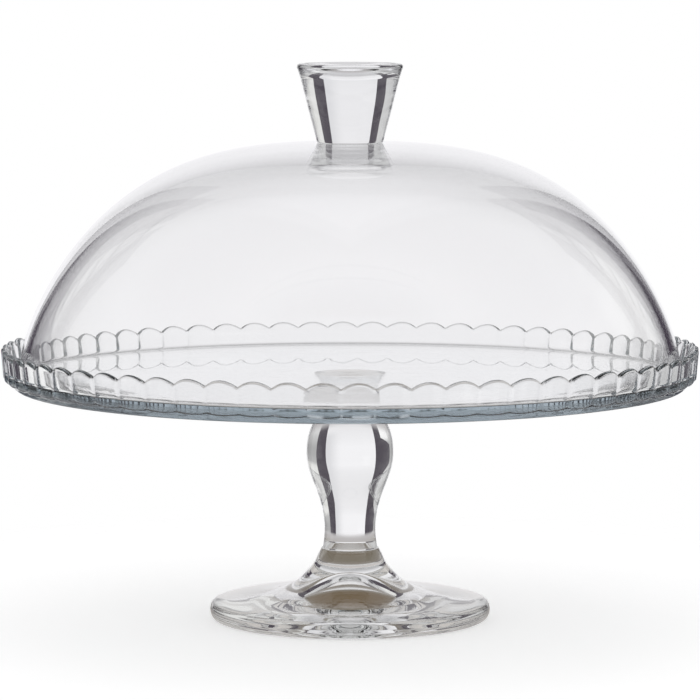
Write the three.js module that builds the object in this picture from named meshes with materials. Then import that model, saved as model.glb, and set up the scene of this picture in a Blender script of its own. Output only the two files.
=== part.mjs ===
// Footed glass cake stand with a lift-off glass dome.
// Millimetres, +Z up. The origin is on the axis, at the bottom of the foot.
// Five pressed-glass pieces: foot, stem and plate are hot-fused into the stand,
// and the knob is hot-fused to the dome shell, which lifts off.

import * as THREE from "three";

// ---- driving dimensions: foot and stem ----
const FOOT_RADIUS = 65.4;
const FOOT_EDGE_HEIGHT = 4.1; // height of the widest line of the foot's rounded edge
const FOOT_REST_OUTER = 62.6; // the flat ring that the stand rests on
const FOOT_REST_INNER = 33;
const KICK_HEIGHT = 16.5; // bell-shaped hollow at the middle of the underside
const FOOT_TOP = 33; // weld between foot and stem
const STEM_WELD_RADIUS = 12.8;
const STEM_PAD_RADIUS = 16.5; // weld between stem and plate

// ---- driving dimensions: plate ----
const PLATE_UNDERSIDE = 109.4;
const PLATE_FLOOR = 116;
const PLATE_FLAT_RADIUS = 150.5;
const WELL_RADIUS = 153.4;
const SERVING_RADIUS = 145; // the part of the floor that stays clear inside the dome
const LOBES = 66; // scallops round the upright rim
const LOBE_STEPS = 4; // angular steps in one scallop
const RIM_TURN = 1; // the scallops are turned by this many steps about the axis
const RIM_VALLEY_HEIGHT = 124.9;
const RIM_CREST_HEIGHT = 127.8;
const RIM_VALLEY_RADIUS = 158.9; // middle of the rim's rounded top
const RIM_THICKNESS = 3;
const LOBE_SWELL = 1.5; // how far a crest stands outside a valley

// ---- driving dimensions: dome ----
const DOME_RADIUS = 153;
const DOME_TOP = 222.2;
const DOME_SPRING = 122; // height where the curved shell meets its short upright skirt
const CROWN_THICKNESS = 6.5;
const SKIRT_THICKNESS = 4;
const DOME_OUTLINE_POWERS = [2.95, 1.36]; // superellipse powers for radius and height
const CROWN_PAD_RADIUS = 18; // flat seat that the knob is fused to

// ---- driving dimensions: knob ----
const KNOB_HEIGHT = 36.5;
const KNOB_TOP_RADIUS = 24.6;
const KNOB_WELD_RADIUS = 14.8; // weld between knob and crown
const DIMPLE_RADIUS = 19;
const DIMPLE_DEPTH = 4.5;

// ---- facets round the axis ----
const WIDE_FACETS = 60;
const NARROW_FACETS = 36;

const glass = (color) =>
  new THREE.MeshStandardMaterial({ color, roughness: 0.03, metalness: 0, transparent: true, opacity: 0.35 });

const point = (radius, height) => new THREE.Vector2(radius, height);

// A smooth outline through a few points, given from first to last.
function smooth(points, steps) {
  return new THREE.SplineCurve(points).getPoints(steps);
}

// An elliptical arc about (radius, height), from one angle to another, in degrees.
function arc(radius, height, reachOut, reachUp, from, to, steps) {
  const points = [];
  for (let i = 0; i <= steps; i += 1) {
    const angle = THREE.MathUtils.degToRad(from + ((to - from) * i) / steps);
    points.push(point(radius + reachOut * Math.cos(angle), height + reachUp * Math.sin(angle)));
  }
  return points;
}

// Revolves an outline of (radius, height) points about Z.
function turned(outline, facets) {
  const geometry = new THREE.LatheGeometry(outline, facets);
  geometry.rotateX(Math.PI / 2);
  return geometry;
}

function piece(name, geometry, color) {
  const mesh = new THREE.Mesh(geometry, glass(color));
  mesh.name = name;
  return mesh;
}

// ---- foot: a broad disc with a rounded edge that sweeps up to the stem ----
function footOutline() {
  const kick = smooth([
    point(0, KICK_HEIGHT), point(4, 15.8), point(8, 13.6), point(12, 10.4), point(16, 7), point(20, 4), point(24, 1.9),
    point(FOOT_REST_INNER, 0),
  ], 8);
  const edge = arc(FOOT_REST_OUTER, FOOT_EDGE_HEIGHT, FOOT_RADIUS - FOOT_REST_OUTER, FOOT_EDGE_HEIGHT, -90, 60, 5);
  const sweep = smooth([
    point(60, 8.6), point(45, 10.2), point(33, 13), point(25, 17.1), point(19.5, 22.4),
    point(16.6, 26.2), point(15.2, 29.3), point(STEM_WELD_RADIUS + 0.5, FOOT_TOP),
  ], 10);
  return [...kick, ...edge, ...sweep, point(0, FOOT_TOP)];
}

// ---- stem: a solid baluster, narrow above the foot and swelling under the plate ----
function stemOutline() {
  const baluster = smooth([
    point(STEM_WELD_RADIUS, FOOT_TOP), point(11.9, 42), point(13.9, 55), point(18.9, 69),
    point(20.3, 77.5), point(19, 87), point(15, 95.5), point(13, 102), point(STEM_PAD_RADIUS, PLATE_UNDERSIDE),
  ], 14);
  return [point(0, FOOT_TOP), ...baluster, point(0, PLATE_UNDERSIDE)];
}

// ---- plate: a flat disc inside an upright rim of scallops ----
// One radial section. Swell runs from 0 in the groove between two scallops to 1 at a crest.
function plateSection(swell) {
  const out = LOBE_SWELL * swell;
  const top = THREE.MathUtils.lerp(RIM_VALLEY_HEIGHT, RIM_CREST_HEIGHT, swell);
  const half = RIM_THICKNESS / 2;
  const rimRadius = RIM_VALLEY_RADIUS + out;
  return [
    point(0, PLATE_UNDERSIDE),
    point(PLATE_FLAT_RADIUS, PLATE_UNDERSIDE),
    point(155.4, 111),
    point(157.6 + 0.6 * out, 113.2),
    point(158.5 + out, 116),
    ...arc(rimRadius, top - half, half, half, 0, 180, 4),
    point(154.6 + out, 118.2),
    point(WELL_RADIUS, PLATE_FLOOR),
    point(SERVING_RADIUS, PLATE_FLOOR),
    point(0, PLATE_FLOOR),
  ];
}

// A lathe of the groove's section, with each ring point then moved to the section at its own angle.
function plateGeometry() {
  const facets = LOBES * LOBE_STEPS;
  const geometry = new THREE.LatheGeometry(plateSection(0), facets);
  const position = geometry.attributes.position;
  const rows = plateSection(0).length;
  for (let facet = 0; facet <= facets; facet += 1) {
    const phase = (2 * ((facet + RIM_TURN) % LOBE_STEPS)) / LOBE_STEPS - 1;
    const section = plateSection(1 - phase * phase);
    const angle = (2 * Math.PI * (facet % facets)) / facets;
    section.forEach((at, row) => {
      position.setXYZ(facet * rows + row, at.x * Math.sin(angle), at.y, at.x * Math.cos(angle));
    });
  }
  geometry.rotateX(Math.PI / 2);
  return geometry;
}

// ---- dome shell: a superelliptic bell, thick at the crown and thinner at its rim ----
// Points of the quarter superellipse from a start radius out to the springing line.
function bell(radius, top, startRadius, steps) {
  const [radiusPower, heightPower] = DOME_OUTLINE_POWERS;
  const start = Math.asin((startRadius / radius) ** (radiusPower / 2));
  const points = [];
  for (let i = 0; i <= steps; i += 1) {
    const angle = start + ((Math.PI / 2 - start) * i) / steps;
    const out = radius * Math.sin(angle) ** (2 / radiusPower);
    const up = (top - DOME_SPRING) * Math.max(Math.cos(angle), 0) ** (2 / heightPower);
    points.push(point(out, DOME_SPRING + up));
  }
  return points;
}

const outerBell = bell(DOME_RADIUS, DOME_TOP, CROWN_PAD_RADIUS, 10);
const crownPadHeight = outerBell[0].y;

function domeOutline() {
  const innerRadius = DOME_RADIUS - SKIRT_THICKNESS;
  const innerBell = bell(innerRadius, DOME_TOP - CROWN_THICKNESS, CROWN_PAD_RADIUS, 9);
  return [
    point(0, innerBell[0].y),
    ...innerBell,
    point(innerRadius, PLATE_FLOOR + 1.6),
    point(innerRadius + 1.4, PLATE_FLOOR),
    point(DOME_RADIUS - 1.6, PLATE_FLOOR),
    point(DOME_RADIUS - 0.4, PLATE_FLOOR + 1.4),
    ...outerBell.toReversed(),
    point(0, crownPadHeight),
  ];
}

// ---- knob: a solid tapered grip with a dished top ----
function knobOutline() {
  const base = crownPadHeight;
  const top = base + KNOB_HEIGHT;
  const flank = smooth([
    point(15.6, base + 1), point(17.8, base + 9.5), point(20, base + 18), point(22.6, base + 28.5),
    point(KNOB_TOP_RADIUS, top - 1.6),
  ], 6);
  const dish = arc(0, top, DIMPLE_RADIUS, DIMPLE_DEPTH, 0, -90, 5);
  return [
    point(0, base),
    point(KNOB_WELD_RADIUS, base),
    ...flank,
    point(KNOB_TOP_RADIUS - 0.6, top - 0.4),
    point(KNOB_TOP_RADIUS - 1.8, top),
    ...dish,
  ];
}

const stand = new THREE.Group();
stand.add(piece("foot", turned(footOutline(), WIDE_FACETS), 0xd9dbd6));
stand.add(piece("stem", turned(stemOutline(), NARROW_FACETS), 0xdcdde0));
stand.add(piece("plate", plateGeometry(), 0xd3dadc));

const dome = new THREE.Group();
dome.add(piece("dome_shell", turned(domeOutline(), WIDE_FACETS), 0xe2e4e8));
dome.add(piece("dome_knob", turned(knobOutline(), NARROW_FACETS), 0xdedfe2));

const group = new THREE.Group();
group.add(stand, dome);

export default group;
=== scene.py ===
"""Looks for the footed glass cake stand with its lift-off dome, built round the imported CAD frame."""

import math

import bpy
import numpy as np
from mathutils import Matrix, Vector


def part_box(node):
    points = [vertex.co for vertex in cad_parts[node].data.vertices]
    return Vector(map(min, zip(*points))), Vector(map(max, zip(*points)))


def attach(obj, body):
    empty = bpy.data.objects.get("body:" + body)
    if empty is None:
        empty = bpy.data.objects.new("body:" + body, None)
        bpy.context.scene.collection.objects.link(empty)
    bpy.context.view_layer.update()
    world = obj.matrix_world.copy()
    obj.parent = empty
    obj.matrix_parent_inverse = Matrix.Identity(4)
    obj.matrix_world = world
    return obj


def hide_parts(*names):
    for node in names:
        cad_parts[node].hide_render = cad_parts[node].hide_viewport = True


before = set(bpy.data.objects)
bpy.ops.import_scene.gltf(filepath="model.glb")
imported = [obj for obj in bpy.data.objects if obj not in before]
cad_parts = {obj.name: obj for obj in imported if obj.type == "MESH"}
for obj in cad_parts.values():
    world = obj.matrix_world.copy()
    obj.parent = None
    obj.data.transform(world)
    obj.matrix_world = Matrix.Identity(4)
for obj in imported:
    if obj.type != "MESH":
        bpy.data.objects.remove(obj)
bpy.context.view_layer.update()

MM = 0.001

# ---- sizes read from the frame, in metres ----
foot_low, foot_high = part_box("foot")
stem_low, stem_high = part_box("stem")
plate_low, plate_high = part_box("plate")
dome_low, dome_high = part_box("dome_shell")
knob_low, knob_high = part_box("dome_knob")

FOOT_RADIUS = foot_high.x
FOOT_TOP = foot_high.z
PLATE_UNDERSIDE = plate_low.z
PLATE_FLOOR = dome_low.z
RIM_CREST_HEIGHT = plate_high.z
DOME_RADIUS = dome_high.x
CROWN_PAD_HEIGHT = dome_high.z
KNOB_TOP = knob_high.z
KNOB_TOP_RADIUS = knob_high.x

# ---- sizes of details, in metres ----
FUSE_GAP = 0.01 * MM  # fused pieces stay this far apart; the weld faces show nothing
EDGE_HEIGHT = 4.1 * MM  # height of the widest line of the foot's rounded edge
REST_OUTER = 62.6 * MM  # the flat ring that the stand rests on
REST_INNER = 33 * MM
KICK_HEIGHT = 16.5 * MM  # bell-shaped hollow at the middle of the underside
STEM_WELD_RADIUS = 12.8 * MM
STEM_PAD_RADIUS = 16.5 * MM
SERVING_RADIUS = 145 * MM  # the part of the plate's floor that stays clear inside the dome
WELL_RADIUS = 153.4 * MM
RIM_VALLEY_RADIUS = 158.9 * MM  # middle of the rim's rounded top
RIM_THICKNESS = 3 * MM
LOBE_SWELL = 1.5 * MM  # how far a scallop's crest stands outside a groove
LOBE_RISE = 2.9 * MM  # how far a crest stands above a groove
LOBES = 66
LOBE_STEPS = 12  # angular steps in one scallop
DOME_SPRING = 122 * MM  # height where the curved shell meets its short upright skirt
CROWN_THICKNESS = 6.5 * MM
SKIRT_THICKNESS = 4 * MM
CROWN_PAD_RADIUS = 18 * MM  # flat seat that the knob is fused to
DOME_OUTLINE_POWERS = 2.95, 1.36  # superellipse powers for radius and height
KNOB_WELD_RADIUS = 14.8 * MM
DIMPLE_RADIUS = 22 * MM
DIMPLE_DEPTH = 5.2 * MM


# ---------------------------------------------------------------- outlines
def smooth(points, steps):
    """A smooth line through (radius, height) points: a natural cubic spline by chord length."""
    p = np.array(points, float)
    t = np.concatenate([[0], np.cumsum(np.sqrt(np.hypot(*np.diff(p, axis=0).T)))])
    h = np.diff(t)
    n = len(p)
    system = np.zeros((n, n))
    right = np.zeros((n, 2))
    system[0, 0] = system[-1, -1] = 1
    for i in range(1, n - 1):
        system[i, i - 1 : i + 2] = h[i - 1], 2 * (h[i - 1] + h[i]), h[i]
        right[i] = 6 * ((p[i + 1] - p[i]) / h[i] - (p[i] - p[i - 1]) / h[i - 1])
    bend = np.linalg.solve(system, right)
    line = []
    for s in np.linspace(0, t[-1], steps + 1):
        i = min(int(np.searchsorted(t, s, side="right")) - 1, n - 2)
        a, b = t[i + 1] - s, s - t[i]
        line.append(
            (bend[i] * a**3 + bend[i + 1] * b**3) / (6 * h[i])
            + (p[i] / h[i] - bend[i] * h[i] / 6) * a
            + (p[i + 1] / h[i] - bend[i + 1] * h[i] / 6) * b
        )
    return np.array(line)


def arc(radius, height, reach_out, reach_up, start, end, steps):
    """An elliptical arc about (radius, height), angles in degrees."""
    a = np.radians(np.linspace(start, end, steps + 1))
    return np.stack([radius + reach_out * np.cos(a), height + reach_up * np.sin(a)], 1)


def straight(start, end, steps):
    """A straight line of points, without its last one."""
    share = np.linspace(0, 1, steps + 1)[:-1, None]
    return np.array(start) * (1 - share) + np.array(end) * share


# ---------------------------------------------------------------- meshes
def revolve(name, sections, weld=()):
    """A closed solid from one outline per angle, each running from the axis to the axis with the
    glass on its left. weld lists (height, radius) of the flat faces that are fused to a neighbour."""
    sections = np.array(sections)
    facets, rows = sections.shape[:2]
    angle = 2 * math.pi * np.arange(facets)[:, None] / facets
    inner = sections[:, 1:-1]
    ring = np.stack([inner[..., 0] * np.sin(angle), -inner[..., 0] * np.cos(angle), inner[..., 1]], -1)
    poles = np.array([[0, 0, sections[0, 0, 1]], [0, 0, sections[0, -1, 1]]])
    verts = np.concatenate([ring.reshape(-1, 3), poles])
    first, last = len(verts) - 2, len(verts) - 1
    rows -= 2
    faces = []
    for i in range(facets):
        a, b = i * rows, (i + 1) % facets * rows
        faces.append((first, b, a))
        faces += [(a + j, b + j, b + j + 1, a + j + 1) for j in range(rows - 1)]
        faces.append((a + rows - 1, b + rows - 1, last))
    mesh = bpy.data.meshes.new(name)
    mesh.from_pydata(verts.tolist(), [], faces)
    mesh.update()
    mesh.shade_smooth()
    fused = mesh.attributes.new("fused", "FLOAT", "FACE")
    for face in mesh.polygons:
        c = face.center
        fused.data[face.index].value = any(
            abs(c.z - height) < 0.02 * MM and math.hypot(c.x, c.y) < radius
            for height, radius in weld
        )
    piece = bpy.data.objects.new(name, mesh)
    bpy.context.scene.collection.objects.link(piece)
    return piece


def turned(name, outline, facets, weld=()):
    """A solid of one outline all the way round."""
    return revolve(name, np.repeat(np.array(outline)[None], facets, 0), weld)


def foot_outline():
    kick = smooth(
        [
            (0, KICK_HEIGHT), (4 * MM, 15.8 * MM), (8 * MM, 13.6 * MM), (12 * MM, 10.4 * MM),
            (16 * MM, 7 * MM), (20 * MM, 4 * MM), (24 * MM, 1.9 * MM), (REST_INNER, 0),
        ],
        48,
    )
    edge = arc(REST_OUTER, EDGE_HEIGHT, FOOT_RADIUS - REST_OUTER, EDGE_HEIGHT, -90, 60, 20)
    sweep = smooth(
        [
            edge[-1], (60 * MM, 8.6 * MM), (45 * MM, 10.2 * MM), (33 * MM, 13 * MM), (25 * MM, 17.1 * MM),
            (19.5 * MM, 22.4 * MM), (16.6 * MM, 26.2 * MM), (15.2 * MM, 29.3 * MM),
            (STEM_WELD_RADIUS + 0.5 * MM, FOOT_TOP),
        ],
        80,
    )[1:]
    flat = straight((REST_INNER, 0), edge[0], 4)[1:]
    top = [(STEM_WELD_RADIUS, FOOT_TOP), (STEM_WELD_RADIUS / 2, FOOT_TOP), (0, FOOT_TOP)]
    return np.concatenate([kick, flat, edge, sweep, top])


def stem_outline():
    low, high = FOOT_TOP + FUSE_GAP, PLATE_UNDERSIDE - FUSE_GAP
    body = smooth(
        [
            (STEM_WELD_RADIUS, low), (11.9 * MM, 42 * MM), (13.9 * MM, 55 * MM), (18.9 * MM, 69 * MM),
            (20.3 * MM, 77.5 * MM), (19 * MM, 87 * MM), (15 * MM, 95.5 * MM), (13 * MM, 102 * MM),
            (STEM_PAD_RADIUS, high),
        ],
        120,
    )
    foot_end = [(0, low), (STEM_WELD_RADIUS / 2, low)]
    plate_end = [(STEM_PAD_RADIUS / 2, high), (0, high)]
    return np.concatenate([foot_end, body, plate_end])


def plate_section(swell):
    """One radial section. Swell runs from 0 in the groove between two scallops to 1 at a crest."""
    out = LOBE_SWELL * swell
    sink = 0.5 * MM * swell
    half = RIM_THICKNESS / 2
    top = RIM_CREST_HEIGHT - LOBE_RISE * (1 - swell)
    rim = RIM_VALLEY_RADIUS + out
    crease = (156.3 * MM + 0.2 * out, 112.4 * MM - sink)
    lobe_bottom = smooth(
        [crease, (158.2 * MM + 0.8 * out, 112.9 * MM - sink), (159.4 * MM + out, 114 * MM)],
        6,
    )
    edge = arc(155.1 * MM, 110.6 * MM, 1.2 * MM, 1.2 * MM, -90, 0, 5)
    round_top = arc(rim, top - half, half, half, 0, 180, 14)
    inner_foot = (156.2 * MM + 0.85 * out, 117.4 * MM)
    fillet = smooth(
        [inner_foot, (155.6 * MM + 0.6 * out, 116.4 * MM), (WELL_RADIUS + 0.8 * MM, PLATE_FLOOR)],
        8,
    )
    pad = [(radius, PLATE_UNDERSIDE) for radius in (0, STEM_PAD_RADIUS / 2, STEM_PAD_RADIUS)]
    return np.concatenate(
        [
            pad,
            straight((STEM_PAD_RADIUS + 2 * MM, PLATE_UNDERSIDE), edge[0], 6),
            edge,
            lobe_bottom[:-1],
            straight(lobe_bottom[-1], round_top[0], 10),
            round_top[:-1],
            straight(round_top[-1], inner_foot, 10),
            fillet,
            straight((SERVING_RADIUS, PLATE_FLOOR), (0, PLATE_FLOOR), 6),
            [(0, PLATE_FLOOR)],
        ]
    )


def plate_sections():
    """The plate's section at each angular step; the scallops start a quarter of one past the axis."""
    turn = LOBE_STEPS // 4
    phase = 2 * ((np.arange(LOBES * LOBE_STEPS) + turn) % LOBE_STEPS) / LOBE_STEPS - 1
    return np.array([plate_section(1 - p * p) for p in phase])


def bell(radius, top, start_radius, steps):
    """Half of a superellipse, from a start radius out to the springing line."""
    radius_power, height_power = DOME_OUTLINE_POWERS
    start = math.asin((start_radius / radius) ** (radius_power / 2))
    a = np.linspace(start, math.pi / 2, steps + 1)
    out = radius * np.sin(a) ** (2 / radius_power)
    up = (top - DOME_SPRING) * np.maximum(np.cos(a), 0) ** (2 / height_power)
    return np.stack([out, DOME_SPRING + up], 1)


def dome_outline():
    inner_radius = DOME_RADIUS - SKIRT_THICKNESS
    radius_power, height_power = DOME_OUTLINE_POWERS
    pad_share = (1 - (CROWN_PAD_RADIUS / DOME_RADIUS) ** radius_power) ** (1 / height_power)
    top = DOME_SPRING + (CROWN_PAD_HEIGHT - DOME_SPRING) / pad_share
    outer = bell(DOME_RADIUS, top, CROWN_PAD_RADIUS, 90)
    inner = bell(inner_radius, top - CROWN_THICKNESS, 4 * MM, 90)
    half = SKIRT_THICKNESS / 2
    rim = arc(DOME_RADIUS - half, PLATE_FLOOR + half, half, half, -180, 0, 16)
    skirt_in = straight(inner[-1], rim[0], 4)[1:]
    skirt_out = straight(rim[-1], outer[-1], 4)[1:]
    pad = [(radius, CROWN_PAD_HEIGHT) for radius in (KNOB_WELD_RADIUS, KNOB_WELD_RADIUS / 2, 0)]
    return np.concatenate([[(0, inner[0, 1])], inner, skirt_in, rim, skirt_out, outer[::-1], pad])


def knob_outline():
    base, top = CROWN_PAD_HEIGHT + FUSE_GAP, KNOB_TOP
    toe = arc(KNOB_WELD_RADIUS, base + 0.8 * MM, 0.7 * MM, 0.8 * MM, -90, -10, 8)
    flank = smooth(
        [
            (15.6 * MM, base + 1 * MM), (17.8 * MM, base + 9.5 * MM), (20 * MM, base + 18 * MM),
            (22.6 * MM, base + 28.5 * MM), (KNOB_TOP_RADIUS, top - 1.6 * MM),
        ],
        60,
    )
    edge = arc(KNOB_TOP_RADIUS - 1.5 * MM, top - 1.5 * MM, 1.5 * MM, 1.5 * MM, 10, 90, 10)
    bowl = (DIMPLE_RADIUS**2 + DIMPLE_DEPTH**2) / (2 * DIMPLE_DEPTH)
    tilt = math.degrees(math.asin(DIMPLE_RADIUS / bowl))
    dish = arc(0, top - DIMPLE_DEPTH + bowl, bowl, bowl, tilt - 90, -90, 30)
    return np.concatenate([[(0, base), (KNOB_WELD_RADIUS / 2, base)], toe, flank, edge, dish])


# ---------------------------------------------------------------- glass
IOR = 1.5
POLISH_SCALE = 60
POLISH_ROUGHNESS = 0.008
RIPPLE_SCALE = 45
RIPPLE_DEPTH = 0.4 * MM


def glass(name, tint, density, ripple):
    """Clear pressed glass: refracts, tints light by the length of its path, and has the faint
    ripple and polish marks of a fire-polished surface. Fused faces show nothing."""
    mat = bpy.data.materials.new(name)
    mat.use_nodes = True
    nodes, links = mat.node_tree.nodes, mat.node_tree.links
    nodes.clear()
    out = nodes.new("ShaderNodeOutputMaterial")
    body = nodes.new("ShaderNodeBsdfPrincipled")
    body.inputs["Base Color"].default_value = (1, 1, 1, 1)
    body.inputs["Transmission Weight"].default_value = 1
    body.inputs["IOR"].default_value = IOR
    where = nodes.new("ShaderNodeTexCoord")
    polish = nodes.new("ShaderNodeTexNoise")
    polish.inputs["Scale"].default_value = POLISH_SCALE
    polish.inputs["Detail"].default_value = 1
    links.new(where.outputs["Object"], polish.inputs["Vector"])
    span = nodes.new("ShaderNodeMapRange")
    span.inputs["From Min"].default_value = 0.45
    span.inputs["From Max"].default_value = 0.75
    span.inputs["To Max"].default_value = POLISH_ROUGHNESS
    links.new(polish.outputs["Fac"], span.inputs["Value"])
    links.new(span.outputs["Result"], body.inputs["Roughness"])
    wave = nodes.new("ShaderNodeTexNoise")
    wave.inputs["Scale"].default_value = RIPPLE_SCALE
    wave.inputs["Detail"].default_value = 1
    links.new(where.outputs["Object"], wave.inputs["Vector"])
    bump = nodes.new("ShaderNodeBump")
    bump.inputs["Strength"].default_value = ripple
    bump.inputs["Distance"].default_value = RIPPLE_DEPTH
    links.new(wave.outputs["Fac"], bump.inputs["Height"])
    links.new(bump.outputs["Normal"], body.inputs["Normal"])
    clear = nodes.new("ShaderNodeBsdfTransparent")
    fused = nodes.new("ShaderNodeAttribute")
    fused.attribute_name = "fused"
    mix = nodes.new("ShaderNodeMixShader")
    links.new(fused.outputs["Fac"], mix.inputs["Fac"])
    links.new(body.outputs["BSDF"], mix.inputs[1])
    links.new(clear.outputs["BSDF"], mix.inputs[2])
    links.new(mix.outputs["Shader"], out.inputs["Surface"])
    inside = nodes.new("ShaderNodeVolumeAbsorption")
    inside.inputs["Color"].default_value = (*tint, 1)
    inside.inputs["Density"].default_value = density
    links.new(inside.outputs["Volume"], out.inputs["Volume"])
    return mat


def add(piece, node, body, material):
    piece.data.materials.append(material)
    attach(piece, body)
    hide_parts(node)


foot_glass = glass("foot glass", (0.6, 0.63, 0.64), 1.6, 0.08)
plate_glass = glass("plate glass", (0.42, 0.52, 0.58), 5.5, 0.06)
dome_glass = glass("dome glass", (0.6, 0.62, 0.68), 2, 0.02)

foot_weld = [(FOOT_TOP, STEM_WELD_RADIUS)]
stem_welds = [(FOOT_TOP + FUSE_GAP, STEM_WELD_RADIUS), (PLATE_UNDERSIDE - FUSE_GAP, STEM_PAD_RADIUS)]
plate_weld = [(PLATE_UNDERSIDE, STEM_PAD_RADIUS)]
dome_weld = [(CROWN_PAD_HEIGHT, KNOB_WELD_RADIUS)]
knob_weld = [(CROWN_PAD_HEIGHT + FUSE_GAP, KNOB_WELD_RADIUS)]

add(turned("cake_foot", foot_outline(), 192, foot_weld), "foot", "stand", foot_glass)
add(turned("cake_stem", stem_outline(), 128, stem_welds), "stem", "stand", foot_glass)
add(revolve("cake_plate", plate_sections(), plate_weld), "plate", "stand", plate_glass)
add(turned("dome_bell", dome_outline(), 256, dome_weld), "dome_shell", "dome", dome_glass)
add(turned("dome_grip", knob_outline(), 128, knob_weld), "dome_knob", "dome", dome_glass)


# ---------------------------------------------------------------- camera
VIEW_DISTANCE = 1.9804
VIEW_HEIGHT = 0.329
VIEW_PITCH = 0.1024  # downwards, in radians
VIEW_FOCAL = 6.113  # focal length over picture width
SENSOR_WIDTH = 36

camera_data = bpy.data.cameras.new("camera")
camera = bpy.data.objects.new("camera", camera_data)
bpy.context.scene.collection.objects.link(camera)
camera_data.sensor_width = SENSOR_WIDTH
camera_data.lens = SENSOR_WIDTH * VIEW_FOCAL
camera_data.clip_start, camera_data.clip_end = 0.05, 50
camera.location = (0, -VIEW_DISTANCE, VIEW_HEIGHT)
camera.rotation_euler = (math.pi / 2 - VIEW_PITCH, 0, 0)
bpy.context.scene.camera = camera


# ---------------------------------------------------------------- studio
def shader(tree, kind, **values):
    """A node with some of its inputs set by name; an input given another node's output is linked."""
    node = tree.nodes.new("ShaderNode" + kind)
    for name, value in values.items():
        socket = node.inputs[name.replace("_", " ")]
        if isinstance(value, bpy.types.NodeSocket):
            tree.links.new(value, socket)
        else:
            socket.default_value = value
    return node


def calc(tree, operation, *values):
    """A Math node's output."""
    node = tree.nodes.new("ShaderNodeMath")
    node.operation = operation
    for socket, value in zip(node.inputs, values):
        if isinstance(value, bpy.types.NodeSocket):
            tree.links.new(value, socket)
        else:
            socket.default_value = value
    return node.outputs[0]


def soft_step(tree, value, start, end):
    """0 below start and 1 above end, smoothly; the other way round if end is below start."""
    node = tree.nodes.new("ShaderNodeMapRange")
    node.interpolation_type = "SMOOTHSTEP"
    node.inputs["From Min"].default_value = min(start, end)
    node.inputs["From Max"].default_value = max(start, end)
    if end < start:
        node.inputs["To Min"].default_value = 1
        node.inputs["To Max"].default_value = 0
    tree.links.new(value, node.inputs["Value"])
    return node.outputs[0]


# Brightness of the room by height above the horizon, in degrees.
ROOM = [
    (-90, 0.72), (-55, 0.77), (-33, 0.8), (-24, 0.68), (-17, 0.55), (-10, 0.42), (-3, 0.42), (4, 0.5),
    (10, 0.62), (18, 0.64), (28, 0.6), (45, 0.52), (90, 0.48),
]
# The white paper sweep behind the stand.
SWEEP = [
    (-90, 0.7), (-50, 0.7), (-36, 0.62), (-27, 0.85), (-16, 0.92), (-11, 0.97), (2, 0.96), (7, 0.9),
    (16, 0.86), (21, 0.74), (27, 0.62), (35, 0.46), (46, 0.55), (58, 0.8), (90, 0.8),
]
SWEEP_TINT = (0.985, 0.98, 1)
SWEEP_AZIMUTHS = -33, 30, 4  # from, to and soft edge
# Lit panels: from and to azimuth, soft edge, from and to height, soft edge (degrees), colour.
# Azimuth 0 is straight behind the stand, and it grows towards +X.
PANELS = [
    ((15, 34, 8), (-21, 19, 3), (0.74, 0.74, 0.76)),
    ((36, 95, 4), (6, 26, 3), (0.82, 0.82, 0.8)),
    ((-56, -34, 4), (-36, -17, 3), (1, 1, 1)),
    ((-100, -80, 5), (-12, 5, 3), (1, 1, 1)),
    ((125, 145, 5), (-24, -6, 3), (1, 1, 1)),
]


def height_ramp(tree, height, stops, tint=(1, 1, 1)):
    """A tone for each height above the horizon."""
    ramp = tree.nodes.new("ShaderNodeValToRGB")
    for i, (degrees, value) in enumerate(stops):
        place = (degrees + 90) / 180
        element = ramp.color_ramp.elements[i] if i < 2 else ramp.color_ramp.elements.new(place)
        element.position = place
        element.color = (*(value * share for share in tint), 1)
    tree.links.new(calc(tree, "MULTIPLY_ADD", height, 1 / 180, 0.5), ramp.inputs["Fac"])
    return ramp.outputs["Color"]


def studio():
    """A dim room all round, a pale paper sweep behind the stand and a few lit panels. The camera
    sees plain white in place of all this."""
    world = bpy.data.worlds.new("studio")
    bpy.context.scene.world = world
    world.use_nodes = True
    tree = world.node_tree
    tree.nodes.clear()
    split = shader(tree, "SeparateXYZ", Vector=shader(tree, "TexCoord").outputs["Generated"]).outputs
    azimuth = calc(tree, "DEGREES", calc(tree, "ARCTAN2", split["X"], split["Y"]))
    height = calc(tree, "DEGREES", calc(tree, "ARCSINE", split["Z"]))

    def between(value, low, high, soft):
        rise = soft_step(tree, value, low - soft, low + soft)
        fall = soft_step(tree, value, high + soft, high - soft)
        return calc(tree, "MULTIPLY", rise, fall)

    def over(below, above, share):
        mix = tree.nodes.new("ShaderNodeMix")
        mix.data_type = "RGBA"
        tree.links.new(share, mix.inputs["Factor"])
        tree.links.new(below, mix.inputs["A"])
        if isinstance(above, tuple):
            mix.inputs["B"].default_value = (*above, 1)
        else:
            tree.links.new(above, mix.inputs["B"])
        return mix.outputs["Result"]

    sweep = height_ramp(tree, height, SWEEP, SWEEP_TINT)
    colour = over(height_ramp(tree, height, ROOM), sweep, between(azimuth, *SWEEP_AZIMUTHS))
    for (a0, a1, a_soft), (h0, h1, h_soft), value in PANELS:
        share = calc(tree, "MULTIPLY", between(azimuth, a0, a1, a_soft), between(height, h0, h1, h_soft))
        colour = over(colour, value, share)
    camera_ray = shader(tree, "LightPath").outputs["Is Camera Ray"]
    colour = over(colour, (1, 1, 1), camera_ray)
    background = shader(tree, "Background", Color=colour)
    out = tree.nodes.new("ShaderNodeOutputWorld")
    tree.links.new(background.outputs[0], out.inputs["Surface"])


studio()


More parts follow.
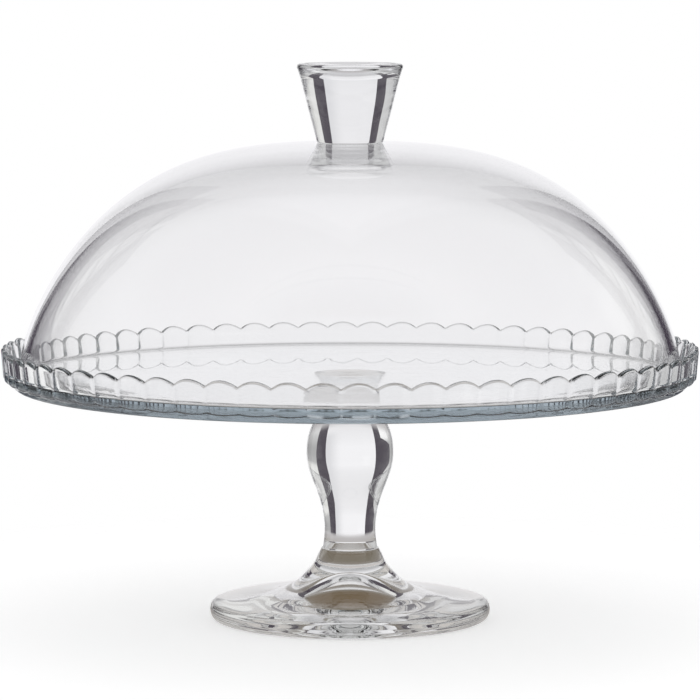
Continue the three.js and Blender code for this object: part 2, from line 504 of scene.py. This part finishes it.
def stage_piece(name, verts):
    """A flat piece of the studio, and the empty node tree of its material."""
    mesh = bpy.data.meshes.new(name)
    mesh.from_pydata(verts, [], [tuple(range(len(verts)))])
    thing = bpy.data.objects.new(name, mesh)
    bpy.context.scene.collection.objects.link(thing)
    mat = bpy.data.materials.new(name)
    mat.use_nodes = True
    mat.node_tree.nodes.clear()
    mesh.materials.append(mat)
    return thing, mat.node_tree


def disc(name, radius, height):
    a = 2 * math.pi * np.arange(96) / 96
    verts = np.stack([radius * np.cos(a), radius * np.sin(a), np.full(96, height)], 1)
    return stage_piece(name, verts.tolist())


def distance_out(tree):
    """The distance from the disc's middle."""
    length = tree.nodes.new("ShaderNodeVectorMath")
    length.operation = "LENGTH"
    tree.links.new(shader(tree, "TexCoord").outputs["Object"], length.inputs[0])
    return length.outputs["Value"]


def surface(tree, sheet, fade=None):
    """Ends a material. A fade makes it vanish between two distances from the disc's middle."""
    result = sheet.outputs[0]
    if fade:
        mix = shader(tree, "MixShader", Fac=soft_step(tree, distance_out(tree), *fade))
        tree.links.new(result, mix.inputs[1])
        tree.links.new(shader(tree, "BsdfTransparent").outputs[0], mix.inputs[2])
        result = mix.outputs[0]
    out = tree.nodes.new("ShaderNodeOutputMaterial")
    tree.links.new(result, out.inputs["Surface"])


# The floor that the camera sees: matt white paper, which the glass does not show.
FLOOR_RADIUS = 0.36
FLOOR_HEIGHT = -0.0004
FLOOR_FADE = 0.2, 0.35
# Painted shade: a glowing tabletop that only the glass shows, its grey-beige tone darkened by a painted
# shadow of the stand, darkest under the foot; colour by distance from the axis in millimetres.
SHADE_RADIUS = 210
SHADE_HEIGHT = -0.0006
SHADE_FADE = 0.14, 0.2
SHADE = [
    (0, (0.13, 0.085, 0.035)), (20, (0.14, 0.1, 0.055)), (28, (0.19, 0.165, 0.125)),
    (38, (0.26, 0.235, 0.21)), (52, (0.44, 0.43, 0.42)), (66, (0.64, 0.61, 0.58)), (78, (0.58, 0.55, 0.53)),
    (100, (0.46, 0.44, 0.42)), (130, (0.5, 0.48, 0.48)), (SHADE_RADIUS, (0.66, 0.65, 0.66)),
]


def floor():
    thing, tree = disc("floor", FLOOR_RADIUS, FLOOR_HEIGHT)
    thing.visible_transmission = False
    thing.visible_glossy = False
    sheet = shader(tree, "BsdfPrincipled", Base_Color=(1, 1, 1, 1), Roughness=0.9, Specular_IOR_Level=0)
    sheet.inputs["Emission Color"].default_value = (1, 1, 1, 1)
    sheet.inputs["Emission Strength"].default_value = 0.5
    surface(tree, sheet, FLOOR_FADE)


# The disc glows with the painted shade and shadow of SHADE and is not lit by the studio.
def shade():
    thing, tree = disc("shade under the foot", SHADE_RADIUS * MM, SHADE_HEIGHT)
    thing.visible_camera = False
    ramp = tree.nodes.new("ShaderNodeValToRGB")
    share = calc(tree, "MULTIPLY", distance_out(tree), 1 / (SHADE_RADIUS * MM))
    tree.links.new(share, ramp.inputs["Fac"])
    for i, (radius, value) in enumerate(SHADE):
        place = radius / SHADE_RADIUS
        element = ramp.color_ramp.elements[i] if i < 2 else ramp.color_ramp.elements.new(place)
        element.position = place
        element.color = (*value, 1)
    surface(tree, shader(tree, "Emission", Color=ramp.outputs["Color"]), SHADE_FADE)


floor()
shade()


def card(name, corners, colour):
    """A flat card with an even glow, out of the camera's view: it is there to be seen in the glass."""
    thing, tree = stage_piece(name, corners)
    surface(tree, shader(tree, "Emission", Color=(*colour, 1), Strength=1))
    thing.visible_camera = False
    thing.visible_diffuse = False
    thing.visible_shadow = False


# Dark flags on both sides behind the stand draw the dark lines in the glass.
FLAG_DISTANCE = 1.26
FLAG_COLOUR = (0.055, 0.045, 0.062)
LEFT_FLAG = [
    (-1.87, -0.42), (-0.9, -0.42), (-0.9, -1), (-0.6, -1), (-0.6, 0.35), (-0.56, 0.85), (-0.6, 1.5),
    (-0.95, 1.5), (-1, 0.8), (-1.2, 0.5), (-1.87, 0.35),
]
RIGHT_FLAG = [(0.6, -1), (1, -1), (1, 1.5), (0.6, 1.5), (0.55, 0.85), (0.5, 0.35), (0.54, 0.1)]
card("left flag", [(x, FLAG_DISTANCE, z) for x, z in LEFT_FLAG], FLAG_COLOUR)
card("right flag", [(x, FLAG_DISTANCE, z) for x, z in RIGHT_FLAG], FLAG_COLOUR)


# ---------------------------------------------------------------- light paths and colours
scene = bpy.context.scene
scene.cycles.max_bounces = 32
scene.cycles.transmission_bounces = 32
scene.cycles.glossy_bounces = 16
scene.cycles.transparent_max_bounces = 64
scene.view_settings.view_transform = "Standard"
scene.view_settings.look = "None"
